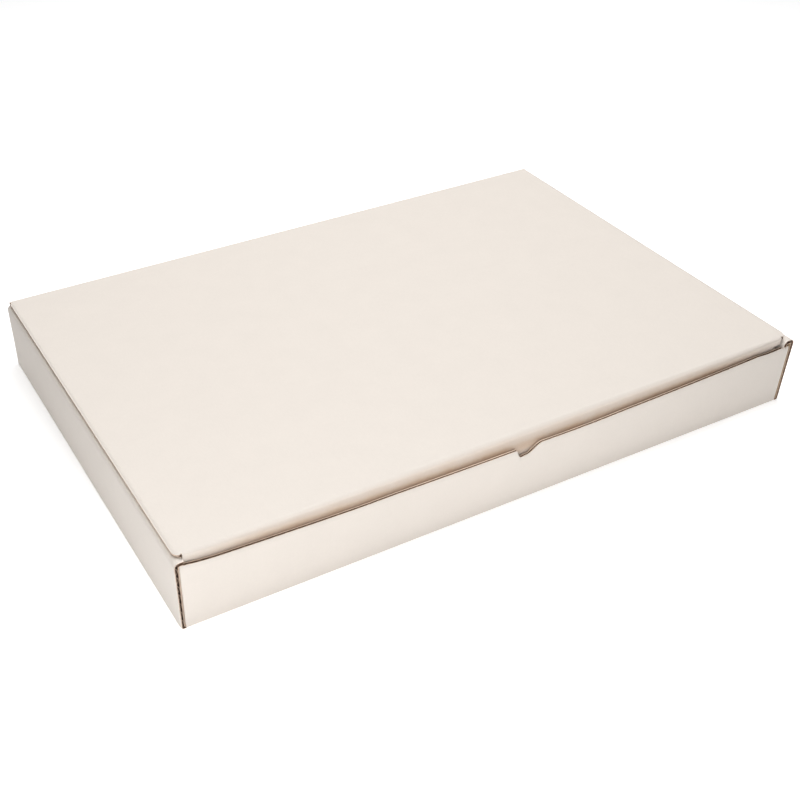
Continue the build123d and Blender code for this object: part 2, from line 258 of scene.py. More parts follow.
class StageLight(bpy.types.PropertyGroup):
    """Strength of the studio's lights"""

    above: power("Above", "Power of the softbox above, in watts", 19.0)
    right: power("Right", "Power of the softbox above on the right, in watts", 3.0)
    front: power("Front", "Power of the softbox in front, in watts", 2.1)
    left_glow: power("Left glow", "Light of the floor on the left", 1.35)
    middle_glow: power("Middle glow", "Light of the floor by the notch", 0.71)
    far_glow: power("Far glow", "Light of the floor far from the box", 0.35)


class BoxColours(bpy.types.PropertyGroup):
    """Colours of the papers and of the stage"""

    white: colour("White liner", "White side of the board", (0.76, 0.70, 0.64))
    kraft: colour("Kraft liner", "Inside of the board", (0.50, 0.35, 0.22))
    # Mixed into the roll's white liner as rubbed paper and as painted shade of the gap at the front wall
    rubbed_and_shaded: colour("Rubbed liner", "Paper under the white where a bend is rubbed", (0.58, 0.42, 0.30))
    edge: colour("Cut edge", "Cut edges of the liners", (0.66, 0.51, 0.40))
    # The fluted paper's brown, made darker than the kraft to paint the shade inside the flute hollows
    fluting: colour("Fluting", "Fluted paper between the liners", (0.22, 0.135, 0.09))
    floor: colour("Floor", "Studio floor", (0.90, 0.90, 0.90))


# Geometry, in millimetres


def grid_of(*parts):
    """A grid of points from coordinates that broadcast to one shape."""
    return np.stack(np.broadcast_arrays(*parts), -1)


def unit(vectors):
    """The same directions with a length of 1."""
    return vectors / np.linalg.norm(vectors, axis=-1, keepdims=True)


def middles(values):
    """The middles between neighbouring values."""
    return (values[1:] + values[:-1]) / 2


def rounded_path(corners, radii, steps):
    """Points of a path whose corners are rounded, for one path or a stack of them.

    corners is (..., n, 2) and radii (..., n - 2). With unit directions a and b before and after a
    corner and h half the turn between them, the arc starts r tan(h) before the corner, and its centre
    is r to the side that the path turns to. Each straight run gives steps[0] points and each arc
    steps[1], so that two paths with as many corners have matching points.
    """
    corners = np.asarray(corners, float)
    radii = np.asarray(radii, float)
    pieces = []
    last = corners[..., 0, :]
    straight = np.linspace(0, 1, steps[0])[:, None]
    turn_part = np.linspace(0, 1, steps[1])
    for i in range(1, corners.shape[-2] - 1):
        here = corners[..., i, :]
        before = unit(here - corners[..., i - 1, :])
        after = unit(corners[..., i + 1, :] - here)
        cross = before[..., 0] * after[..., 1] - before[..., 1] * after[..., 0]
        turn = np.arctan2(cross, (before * after).sum(-1))
        radius = radii[..., i - 1]
        start = here - before * (radius * np.tan(np.abs(turn) / 2))[..., None]
        left = grid_of(-before[..., 1], before[..., 0])
        centre = start + left * (radius * np.sign(turn))[..., None]
        arm = start - centre
        angle = turn[..., None] * turn_part
        cos, sin = np.cos(angle), np.sin(angle)
        arc = grid_of(arm[..., :1] * cos - arm[..., 1:] * sin, arm[..., :1] * sin + arm[..., 1:] * cos)
        pieces.append(last[..., None, :] * (1 - straight) + start[..., None, :] * straight)
        pieces.append(centre[..., None, :] + arc)
        last = pieces[-1][..., -1, :]
    end = corners[..., -1, :]
    pieces.append(last[..., None, :] * (1 - straight) + end[..., None, :] * straight)
    return np.concatenate(pieces, -2)


def mitred(corners, distance):
    """A path's corners moved to its right by a distance.

    A corner moves along the sum of its two runs' normals, and a run's normal is its direction turned
    a quarter to the right.
    """
    corners = np.asarray(corners, float)
    run = unit(np.diff(corners, axis=-2))
    normal = grid_of(run[..., 1], -run[..., 0])
    first, last = normal[..., :1, :], normal[..., -1:, :]
    mean = np.concatenate([first, (normal[..., 1:, :] + normal[..., :-1, :]) / 2, last], -2)
    return corners + mean * (distance / (mean**2).sum(-1))[..., None]


def board_path(corners, radii, inner_on_right, steps=(12, 14)):
    """The outer and inner face of a folded board's section, and the distance along the outer one.

    Both faces have matching points.
    """
    radii = np.asarray(radii, float)
    outer = rounded_path(corners, radii, steps)
    inner_corners = mitred(corners, BOARD if inner_on_right else -BOARD)
    inner = rounded_path(inner_corners, np.maximum(radii - BOARD, FOLD_INSIDE), steps)
    gaps = np.linalg.norm(np.diff(outer, axis=0), axis=1)
    return (outer, inner), np.concatenate([[0.0], np.cumsum(gaps)])


def at_runs(paths, distance, runs):
    """Points of each path with matching points, at given distances along the first."""
    return [np.stack([np.interp(runs, distance, part) for part in path.T], -1) for path in paths]


def spaced(low, high, *extra, gap):
    """Values from low to high about gap apart, with some extra values among them."""
    count = max(int(round((high - low) / gap)), 1) + 1
    values = np.concatenate([np.linspace(low, high, count), [e for e in extra if low < e < high]])
    return np.unique(np.round(values, 6))


def flute_spaced(low, high, *extra, per_flute=8):
    """Values from low to high, so many to a flute, with some extra values among them."""
    return spaced(low, high, *extra, gap=box("board").pitch / per_flute)


def rounded_off(distance, radius):
    """How far a round corner cuts an edge in, at a distance from the edge beside it."""
    into = np.clip(radius - distance, 0, radius)
    return radius - np.sqrt(np.clip(radius**2 - into**2, 0, None))


def arched(x, half):
    """An arc with a rise of 1 in its middle: 1 - (x / half)^2."""
    return np.clip(1 - (x / half) ** 2, 0, 1)


def crushed(outer, inner, amount):
    """Both faces of a board moved towards each other by a part of its thickness."""
    across = inner - outer
    part = amount[..., None]
    return outer + across * part, inner - across * part


def shell(top, bottom, keep=None):
    """A closed sheet between two grids of points, without the cells that keep leaves out.

    Each kept cell gives a quad on both grids, and each of its sides with no kept neighbour gives a
    quad from one grid to the other. Returns points, quads and each quad's place: 0 on the top grid,
    1 on the bottom grid, 2 on an edge.
    """
    rows, columns = top.shape[:2]
    if keep is None:
        keep = np.ones((rows - 1, columns - 1), bool)
    count = rows * columns
    index = np.arange(count).reshape(rows, columns)
    a, b, c, d = index[:-1, :-1], index[1:, :-1], index[1:, 1:], index[:-1, 1:]
    across = top[1:, :-1] - top[:-1, :-1]
    along = top[:-1, 1:] - top[:-1, :-1]
    outwards = top[:-1, :-1] - bottom[:-1, :-1]
    facing = (np.cross(across, along) * outwards).sum(-1)
    upper = np.stack([a, b, c, d], -1)[keep]
    lower = upper[:, ::-1] + count
    padded = np.pad(keep, 1)
    sides = []
    for near, start, end in (
        (padded[:-2, 1:-1], a, d),
        (padded[2:, 1:-1], c, b),
        (padded[1:-1, :-2], b, a),
        (padded[1:-1, 2:], d, c),
    ):
        open_side = keep & ~near
        s, e = start[open_side], end[open_side]
        sides.append(np.stack([s, e, e + count, s + count], -1))
    side = np.concatenate(sides)
    quads = np.concatenate([upper, lower, side])
    if facing[keep].sum() < 0:
        quads = quads[:, ::-1]
    place = np.repeat([0, 1, 2], [len(upper), len(lower), len(side)])
    points = np.concatenate([top.reshape(-1, 3), bottom.reshape(-1, 3)])
    return points, quads, place


def sheet(kind, top, bottom, keep, wave, run, rubbed_and_shaded=0.0):
    """One closed sheet of paper: its kind, its points and quads, and the map its material reads."""
    points, quads, place = shell(top, bottom, keep)
    pattern = grid_of(wave * MM, run * MM, rubbed_and_shaded).reshape(-1, 3)
    return kind, points, quads, place, np.concatenate([pattern, pattern])


def board_layers(face, u_plain, u_flute, v, phase=0.0, frayed=1.0):
    """The three papers of a board: outer liner, fluting and inner liner, each a closed sheet.

    face(u, v, inset) gives both faces of the board on a grid whose cut edges lie back by inset, the
    cells that exist, the distance across the flutes and the distance along them, and may give how
    much rubbed paper and painted shade the outer face takes. A layer lies at a part p of the way
    from the outer to the inner face, and for the fluting p = m + A sin(2 pi (wave / pitch + phase)),
    with m halfway between the liners. Each paper keeps its own thickness where the board is pressed
    thinner, and a frayed inner liner is drawn so many times as thick.
    """
    sizes = box("board")
    layers = []
    for kind, us in (("outer", u_plain), ("fluting", u_flute), ("inner", u_plain)):
        inset = sizes.recess if kind == "fluting" else 0.0
        outer, inner, keep, wave, run, *rubbed_and_shaded = face(us, v, inset)
        across = inner - outer
        thickness = np.linalg.norm(across, axis=-1)
        first, last = sizes.liner / thickness, 1 - sizes.liner * frayed / thickness
        if kind == "outer":
            low, high = 0.0, first[..., None]
        elif kind == "inner":
            low, high = last[..., None], 1.0
        else:
            half_medium = sizes.medium / thickness / 2
            swing = np.clip((last - first) / 2 - half_medium * FLUTE_OUT, 0, None)
            middle = (first + last) / 2 + swing * np.sin(2 * np.pi * (wave / sizes.pitch + phase))
            low, high = (middle - half_medium)[..., None], (middle + half_medium)[..., None]
        top, bottom = outer + across * low, outer + across * high
        layers.append(sheet(kind, top, bottom, keep, wave, run, *rubbed_and_shaded))
    return layers


def make_piece(name, layers, body, node=None):
    """One object from several sheets of paper, with a material for each kind of face."""
    names = list(PAPERS)
    points, quads, slots, pattern, offset = [], [], [], [], 0
    for kind, xyz, faces, place, uv in layers:
        used = np.unique(faces)
        renumber = np.zeros(len(xyz), int)
        renumber[used] = np.arange(len(used)) + offset
        points.append(xyz[used])
        pattern.append(uv[used])
        quads.append(renumber[faces])
        slots.append(np.array([names.index(paper) for paper in FACES[kind]])[place])
        offset += len(used)
    points, quads = np.concatenate(points) * MM, np.concatenate(quads)
    slots, pattern = np.concatenate(slots), np.concatenate(pattern).astype(np.float32)
    mesh = bpy.data.meshes.new(name)
    mesh.vertices.add(len(points))
    mesh.vertices.foreach_set("co", points.ravel().astype(np.float32))
    mesh.loops.add(quads.size)
    mesh.loops.foreach_set("vertex_index", quads.ravel().astype(np.int32))
    mesh.polygons.add(len(quads))
    mesh.polygons.foreach_set("loop_start", np.arange(0, quads.size, 4, dtype=np.int32))
    mesh.update(calc_edges=True)
    for material in names:
        mesh.materials.append(bpy.data.materials[material])
    mesh.polygons.foreach_set("material_index", slots.astype(np.int32))
    mesh.uv_layers.new(name="Sheet").uv.foreach_set("vector", pattern[quads.ravel(), :2].ravel())
    mesh.attributes.new("Rubbed", "FLOAT", "POINT").data.foreach_set("value", pattern[:, 2])
    mesh.validate()
    mesh.shade_smooth()
    mesh.set_sharp_from_angle(angle=math.radians(SHARP_ANGLE))
    piece = bpy.data.objects.new(name, mesh)
    bpy.context.collection.objects.link(piece)
    if isinstance(body, str):
        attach(piece, body)
    else:
        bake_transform(piece)
    if node:
        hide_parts(node)


# The tray's panels


def lean_at(x, z):
    """How far the leaning right wall carries a point of the walls outwards, by its height."""
    tray = box("tray")
    part = np.clip((x + FLAT_END_X) / (2 * FLAT_END_X), 0, 1)
    return (tray.lean * z / RIM - tray.foot_in) * part


def press(distance, times=1.0):
    """Part of the thickness that each face is pressed in, at a distance from a cut edge."""
    sizes = box("board")
    return times * sizes.crush / BOARD * np.exp(-((distance / sizes.crush_run) ** 2))


def tab_ends(half):
    """Where both lock tabs or their slots end along Y, for a half length."""
    spacing = box("tray").tab_spacing
    return [s * spacing / 2 + e * half for s in (-1, 1) for e in (-1, 1)]


def beside_tabs(y, half):
    """Whether a grid's cells lie at the lock tabs or their slots along Y, for a half length."""
    return np.abs(np.abs(middles(y))[None, :] - box("tray").tab_spacing / 2) < half


def base_layers():
    """The base: a flat board with a slot for each lock tab."""
    tray = box("tray")
    left, right = FOLD_REACH - HALF_LENGTH, HALF_LENGTH - FOLD_REACH - tray.foot_in
    half_y = HALF_DEPTH - box("board").fold
    slot_in = INNER_FACE_X - LAYER_PLAY
    slot_out = INNER_FACE_X + BOARD + LAYER_PLAY
    slot_half = tray.tab_length / 2 + tray.tab_play
    x_marks = [s * e for s in (-1, 1) for e in (slot_in, slot_out)]

    def face(x, y, _):
        grid_x, grid_y = np.meshgrid(x, y, indexing="ij")
        outer = np.stack([grid_x, grid_y, 0 * grid_x], -1)
        inner = outer + [0, 0, BOARD]
        mid_x = np.abs(middles(x))[:, None]
        in_slot = (mid_x > slot_in) & (mid_x < slot_out) & beside_tabs(y, slot_half)
        return outer, inner, ~in_slot, grid_x, grid_y

    rows = spaced(-half_y, half_y, *tab_ends(slot_half), gap=30)
    plain, fluted = spaced(left, right, *x_marks, gap=20), flute_spaced(left, right, *x_marks)
    return board_layers(face, plain, fluted, rows)


def side_layers(side):
    """One side wall: outer panel, roll and inner panel on one path, with lock tabs at its foot.

    The path runs in the X-Z plane and the flutes run along Y. The inner part starts further back at
    the front, and stops in front of the back wall's fold.
    """
    tray = box("tray")
    foot_x, top_x = (-tray.foot_in, tray.lean - tray.foot_in) if side > 0 else (0.0, 0.0)
    outer_x, inner_x = side * HALF_LENGTH, side * INNER_FACE_X
    foot = BOARD + LAYER_PLAY
    corners = [
        (outer_x + foot_x - side * FOLD_REACH, 0),
        (outer_x + foot_x, 0),
        (outer_x + top_x, RIM),
        (inner_x + top_x, RIM),
        (inner_x + foot_x + (top_x - foot_x) * foot / RIM, tray.tab_recess),
    ]
    radii = [box("board").fold, ROLL_RADIUS, ROLL_RADIUS]
    paths, distance = board_path(corners, radii, inner_on_right=side < 0)
    outer, total = paths[0], distance[-1]
    foot_run = total - (foot - tray.tab_recess)
    past_top = np.arange(len(outer)) >= np.argmax(outer[:, 1])
    front_cut = distance[past_top & (side * outer[:, 0] < HALF_LENGTH - tray.roll_at_front)][0]
    back_cut = distance[past_top & (side * (outer[:, 0] - top_x) < FLAP_OUTER_X)][0]
    tab_half = tray.tab_length / 2
    inner_front = FRONT_Y + tray.relief
    inner_back = HALF_DEPTH - BOARD - LAYER_PLAY

    def face(run, y, inset):
        low = np.where(run > front_cut, inner_front, FRONT_Y)[:, None] + inset
        high = np.where(run > back_cut, inner_back, HALF_DEPTH)[:, None] - inset
        part = (y - inner_front) / (inner_back - inner_front)
        grid_y = low + (high - low) * part[None, :]
        both = [grid_of(line[:, :1], grid_y, line[:, 1:]) for line in at_runs(paths, distance, run)]
        # The ends are pressed most at the foot
        times = TOP_CRUSH + tray.foot_crush * np.clip(1 - both[0][..., 2] / RIM, 0, 1)
        faces = crushed(*both, press(grid_y - low, times) + press(high - grid_y, times))
        keep = (middles(run)[:, None] < foot_run) | beside_tabs(y, tab_half)
        return *faces, keep, np.broadcast_to(run[:, None], grid_y.shape), grid_y

    ends = [front_cut, front_cut + JUMP, back_cut, back_cut + JUMP, foot_run]
    rows = spaced(inner_front, inner_back, *tab_ends(tab_half), gap=14)
    rows = np.unique(np.concatenate([rows, inner_front + NEAR_EDGE, inner_back - NEAR_EDGE]))
    plain = np.unique(np.concatenate([distance[::2], ends, [total]]))
    return board_layers(face, plain, flute_spaced(0, total, *ends, per_flute=9), rows, phase=0.2)


def notched_top(x):
    """Height of the front wall's top edge at x: nearly level, with a steep side, a floor and a slope.

    The steep side falls as a quarter of a sine, the floor rises a little, and the slope eases out of
    the floor and into the edge as a cosine. The edge also rises at its left end and dips at three
    places, which are given along X.
    """
    tray = box("tray")
    floor_start = tray.notch_start + tray.notch_steep
    floor_end = floor_start + tray.notch_floor
    rise = tray.notch_depth * NOTCH_RISE
    steep = np.clip((x - tray.notch_start) / tray.notch_steep, 0, 1)
    floor = np.clip((x - floor_start) / tray.notch_floor, 0, 1)
    slope = np.clip((x - floor_end) / tray.notch_slope, 0, 1)
    depth = tray.notch_depth * np.sin(steep * np.pi / 2)
    depth -= rise * floor
    depth -= (tray.notch_depth - rise) * (1 - np.cos(slope**NOTCH_EASE * np.pi)) / 2
    raised, left, middle = -tray.corner_rise, tray.left_dip, tray.middle_dip
    places = [-217, -213, -206, -198, -112, -88, 15, 32, 58, 75, 191, 195]
    dips = [raised, raised / 2, left / 2, left, left, 0, 0, middle, middle, 0, 0, tray.right_dip]
    return tray.front_height - depth - np.interp(x, places, dips)


def end_wall_layers(facing):
    """A front or back wall with the fold below it and the corner flaps at its ends.

    Seen from above, its path runs along one flap, round a fold, along the wall and back along the
    other flap. Rows with v from -1 to 0 go round the fold from the base, and rows from 0 to 1 go up
    to the top edge. The front wall is carried outwards by the bow at x times its part of the height.
    """
    tray = box("tray")
    fold, corner = box("board").fold, tray.corner_fold
    front = facing < 0
    bow = tray.front_bow if front else 0.0
    height = tray.front_height if front else RIM
    face_y = facing * HALF_DEPTH
    flap_y = face_y - facing * tray.flap_length
    flap_x = FLAP_OUTER_X
    corners = [(-flap_x, flap_y), (-flap_x, face_y), (flap_x, face_y), (flap_x, flap_y)]
    paths, distance = board_path(corners, [corner] * 2, inner_on_right=not front, steps=(60, 10))
    total = distance[-1]
    flap_run = tray.flap_length - corner
    flap_top = RIM - BOARD - tray.flap_drop

    def face(run, v, inset):
        out2, in2 = at_runs(paths, distance, run)
        from_end = np.minimum(run, total - run)
        x = out2[:, 0]
        top = notched_top(x) if front else np.full(len(run), height)
        on_flap = from_end < flap_run
        top = np.where(on_flap, flap_top - np.clip(tray.flap_chamfer - from_end, 0, None), top)
        top -= inset * (on_flap | front)
        level = np.clip(v, 0, 1)[None, :]
        z = fold + (top[:, None] - fold) * level
        turn = np.clip(v + 1, 0, 1)[None, :] * np.pi / 2
        in_fold = np.broadcast_to(v[None, :] < 0, z.shape)
        carried = bow * arched(x, FLAT_END_X)[:, None] * np.clip((z - fold) / (height - fold), 0, 1)
        both = []
        for line, depth in ((out2, 0.0), (in2, BOARD)):
            # The inner face turns on a small radius inside the crease
            small = FOLD_INSIDE if depth else fold
            fold_y = face_y - facing * (depth + small * (1 - np.sin(turn)))
            fold_z = depth + small * (1 - np.cos(turn))
            inner_z = np.maximum(z, depth + small) if depth else z
            here_y = np.where(in_fold, fold_y, line[:, 1:] + facing * carried)
            here_z = np.where(in_fold, fold_z, inner_z)
            both.append(grid_of(line[:, :1] + lean_at(line[:, :1], here_z), here_y, here_z))
        amount = press(top[:, None] + inset - z, tray.front_crush if front else 1.0)
        amount = amount * ~in_fold * (on_flap | front)[:, None]
        faces = crushed(*both, amount)
        mid_run = middles(run)[:, None]
        on_wall = (mid_run > flap_run + corner / 2) & (mid_run < total - flap_run - corner / 2)
        keep = on_wall | (v[:-1] >= 0)[None, :]
        return *faces, keep, np.broadcast_to(run[:, None] - total / 2, z.shape), z

    ends = [flap_run, flap_run + JUMP, flap_run + corner * math.pi / 2]
    arcs = [flap_run + corner * a for a in np.linspace(0, math.pi / 2, 9)]
    ends, arcs = ([*marks, *(total - m for m in marks)] for marks in (ends, arcs))
    notch = list(total / 2 + tray.notch_start + NOTCH_MARKS) if front else []
    # Rows of the fold, of the wall above it, and near its top edge
    near_top = 1 - np.array([0.0, 0.4, 0.9, 1.5, 2.3, 3.5, 5.5, 9.0]) / height
    rows = np.unique(np.concatenate([np.linspace(-1, 0, 9), [0.04], np.linspace(0, 0.75, 6), near_top]))
    plain = spaced(0, total, *ends, *notch, *arcs, gap=9)
    fluted = flute_spaced(0, total, *ends, *notch, per_flute=9)
    return board_layers(face, plain, fluted, rows, frayed=tray.front_fray if front else 1.0)


# The lid's panels


def tuck_corners(x, inset=0.0):
    """Corners of the lid's section at x: its back, crease, brow, knee and foot, and their radii.

    The tuck flap takes up the front wall's bow over its own width.
    """
    lid, tray = box("lid"), box("tray")
    part = arched(x, HALF_LENGTH - lid.shoulder_inset)
    crease = FRONT_Y + lid.crease
    brow = FRONT_Y + lid.brow - lid.brow_swell * part
    knee = FRONT_Y + BOARD + lid.knee_gap - tray.front_bow * part
    foot = FRONT_Y + BOARD + LID_GAP + LAYER_PLAY + lid.foot_lean - lid.foot_swell * part
    ys = grid_of(HALF_DEPTH - BOARD, crease, brow, knee, foot)
    zs = grid_of(HEIGHT, HEIGHT, HEIGHT - lid.slope * (crease - brow), lid.knee_height, TUCK_FOOT + inset)
    crease_radius = lid.crease_radius + lid.crease_swell * part
    radii = grid_of(crease_radius, lid.brow_radius + lid.radius_swell * part, lid.knee_radius)
    return grid_of(ys, zs), radii


def lid_layers():
    """The lid from the back crease to the foot of the tuck flap, with flutes from back to front.

    At each x the section is a path in the Y-Z plane: the flat lid, the roll, the knee and the flap.
    Beyond the tuck flap's ends only the flat part exists, and stops at the rounded corner or notch.
    """
    lid = box("lid")
    tuck_half = HALF_LENGTH - lid.shoulder_inset
    shoulder_z = HEIGHT - lid.shoulder_height
    ear_start = EAR_OUTER_X - FOLD_REACH
    steps = (5, 10)
    # Rows of the flat lid, which crowd at its front edge
    flat = 1 - np.array([1, 0.85, 0.7, 0.55, 0.4, 0.28, 0.18, 0.1, 0.05, 0.022, 0.011, 0.005, 0.002, 0])

    def edge_y(x):
        """Front edge of the flat lid beyond the tuck flap: straight, a round corner and a notch."""
        out = np.abs(x)
        half = np.where(x < 0, -LID_LEFT, LID_RIGHT)
        notch = lid.notch_depth * np.clip(1 - (out - tuck_half) / lid.notch_width, 0, 1)
        return FRONT_Y + lid.setback + np.maximum(rounded_off(half - out, lid.corner), notch)

    def face(x, _, inset):
        corners, radii = tuck_corners(x, inset)
        inner_corners, inner_radii = mitred(corners, -BOARD), np.maximum(radii - BOARD, LID_BEND)
        beyond = (np.abs(x) > tuck_half)[:, None]
        start, own_edge = corners[:, :1, 0], edge_y(x)[:, None] + inset
        lines = []
        for bends in ((corners, radii), (inner_corners, inner_radii)):
            line = rounded_path(*bends, steps)
            end = np.where(beyond, own_edge, line[:, steps[0] - 1, :1])
            level = grid_of(start + (end - start) * flat, line[:, :1, 1])
            lines.append(np.concatenate([level, line[:, steps[0] :]], 1))
        both = [grid_of(x[:, None], line[..., 0], line[..., 1]) for line in lines]
        grid_x, y, z = np.moveaxis(both[0], -1, 0)
        cell = np.arange(z.shape[1])[None, :]
        in_flat = cell < len(flat)
        edge_gap = np.minimum(grid_x - LID_LEFT, LID_RIGHT - grid_x)
        edge_gap = np.where(beyond, np.minimum(edge_gap, y - own_edge), edge_gap)
        side_gap = np.where(beyond | in_flat, edge_gap, tuck_half - np.abs(grid_x))
        # The lid's left side is pressed most, above all at the front, and only beyond the tuck flap
        ahead = (HALF_DEPTH - y) / (2 * HALF_DEPTH)
        times = LID_CRUSH + (lid.left_crush + lid.corner_crush * ahead**3) * (grid_x < 0)
        times *= np.clip((np.abs(grid_x) - tuck_half) / lid.notch_width, 0, 1)
        times = np.where(in_flat, times, FLAP_CRUSH)
        faces = crushed(*both, press(side_gap, times) + press(z - TUCK_FOOT))
        cell_x = np.abs(middles(x))[:, None]
        keep = (cell[:, :-1] < len(flat) - 1) | (cell_x < tuck_half)
        keep &= (cell_x < ear_start) | ((z[:-1, :-1] + z[:-1, 1:]) / 2 > shoulder_z)
        down = HEIGHT - z
        # Rubbed paper and painted shade on the roll: none on the flat lid, darker and browner down
        # towards the gap at the front wall, fading out below the lid
        past_crease = np.clip((FRONT_Y + lid.crease + RUB_SHADE_AHEAD - y) / RUB_SHADE_RUN, 0, 1)
        rubbed_and_shaded = past_crease * np.exp(-((np.clip(down - FADE_START, 0, None) / FADE_REACH) ** 2))
        rubbed_and_shaded *= RUB_SHADE_LEAST + RUB_SHADE_MORE * np.clip(down / RUB_SHADE_DEPTH, 0, 1)
        return *faces, keep, grid_x, y - down, rubbed_and_shaded

    marks = []
    for side, half in ((-1, -LID_LEFT), (1, LID_RIGHT)):
        near = [tuck_half, tuck_half + JUMP, ear_start, *np.linspace(tuck_half + 0.5, half, 14)]
        near += [*(half - NEAR_EDGE[:3]), *(tuck_half - NEAR_EDGE[:5])]
        marks += [side * m for m in near]
    fluted = flute_spaced(LID_LEFT + SIDE_RECESS, LID_RIGHT - SIDE_RECESS, *marks)
    return board_layers(face, spaced(LID_LEFT, LID_RIGHT, *marks, gap=9), fluted, np.zeros(1))


def ear_layers(side):
    """An ear: seen from above it runs along the tuck flap, round a fold and straight back.

    Its rows follow the tuck flap's lean from the shoulder down to the foot, and its top and bottom
    edges close in towards the free end, with round corners.
    """
    lid = box("lid")
    start_x = EAR_OUTER_X - FOLD_REACH
    corners, _ = tuck_corners(np.array([start_x]))
    knee, foot = corners[0, -2:]
    slope = (foot[0] - knee[0]) / (knee[1] - foot[1])
    top_z = HEIGHT - lid.shoulder_height
    plan = [(side * start_x, 0), (side * EAR_OUTER_X, 0), (side * EAR_OUTER_X, lid.ear_length)]
    paths, distance = board_path(plan, [box("board").fold], inner_on_right=side < 0, steps=(8, 12))
    total = distance[-1]

    def face(run, v, inset):
        out2, in2 = at_runs(paths, distance, run)
        from_end = np.clip(total - run, 0, None)
        part = np.clip(out2[:, 1] / lid.ear_length, 0, 1)
        corner = rounded_off(from_end, lid.ear_corner)
        high = top_z - lid.ear_taper * part - corner - inset
        low = TUCK_FOOT + lid.ear_taper * part + corner + inset
        z = high[:, None] + (low - high)[:, None] * v[None, :]
        leaning = knee[0] + slope * (knee[1] - z)
        both = [grid_of(line[:, :1], leaning + line[:, 1:], z) for line in (out2, in2)]
        amount = press(high[:, None] - z) + press(z - low[:, None]) + press(from_end)[:, None]
        return *crushed(*both, amount), None, np.broadcast_to(run[:, None] + side * start_x, z.shape), z

    rows = np.array([0.0, 0.02, 0.06, 0.14, 0.35, 0.65, 0.86, 0.94, 0.98, 1.0])
    tip = list(total - lid.ear_corner * (1 - np.cos(np.linspace(0, math.pi / 2, 8))))
    plain = spaced(0, total, *distance, *tip, gap=6)
    return board_layers(face, plain, flute_spaced(0, total, *tip), rows)


def crease_layers():
    """The board that bends between the back wall and the lid, as its three papers.

    Each is a strip along X whose section goes up from the wall's top and round the hinge to the lid.
    """
    thickness = box("board").liner
    corners = [(HALF_DEPTH, RIM), (HALF_DEPTH, HEIGHT), (HALF_DEPTH - BOARD, HEIGHT)]
    x = spaced(LID_LEFT + STRIP_INSET, LID_RIGHT - STRIP_INSET, gap=20)
    layers = []
    # Each paper's kind, the depths of its two faces below the outside, and its bend's radius
    papers = (
        ("outer", 0.0, thickness, BOARD / 2),
        ("fluting", BOARD * 0.45, BOARD * 0.55, 0.4),
        ("inner", BOARD - thickness, BOARD - 0.05, 0.05),
    )
    least_radius, most_of_run = 0.03, 0.9
    for kind, top, bottom, radius in papers:
        grids = []
        for depth in (top, bottom):
            path = mitred(corners, -depth)
            path[0, 1], path[-1, 0] = RIM, HALF_DEPTH - BOARD
            room = most_of_run * min(path[1, 1] - RIM, BOARD - depth)
            line = rounded_path(path, [min(max(radius - (depth - top), least_radius), room)], (5, 10))
            grids.append(grid_of(x[:, None], line[:, 0], line[:, 1]))
        layers.append(sheet(kind, *grids, None, grids[0][..., 0], grids[0][..., 2]))
    return layers


# Materials


def feed(tree, node, inputs):
    """Gives a node's inputs values or other nodes' outputs."""
    for socket, value in dict(inputs).items():
        if isinstance(value, bpy.types.NodeSocket):
            tree.links.new(value, node.inputs[socket])
        else:
            node.inputs[socket].default_value = value


def add_node(tree, kind, inputs=(), **settings):
    """A new shader node with its settings and inputs."""
    node = tree.nodes.new("ShaderNode" + kind)
    for name, value in settings.items():
        setattr(node, name, value)
    feed(tree, node, inputs)
    return node


def maths(tree, operation, *values):
    """The output of a new math node."""
    return add_node(tree, "Math", enumerate(values), operation=operation).outputs[0]


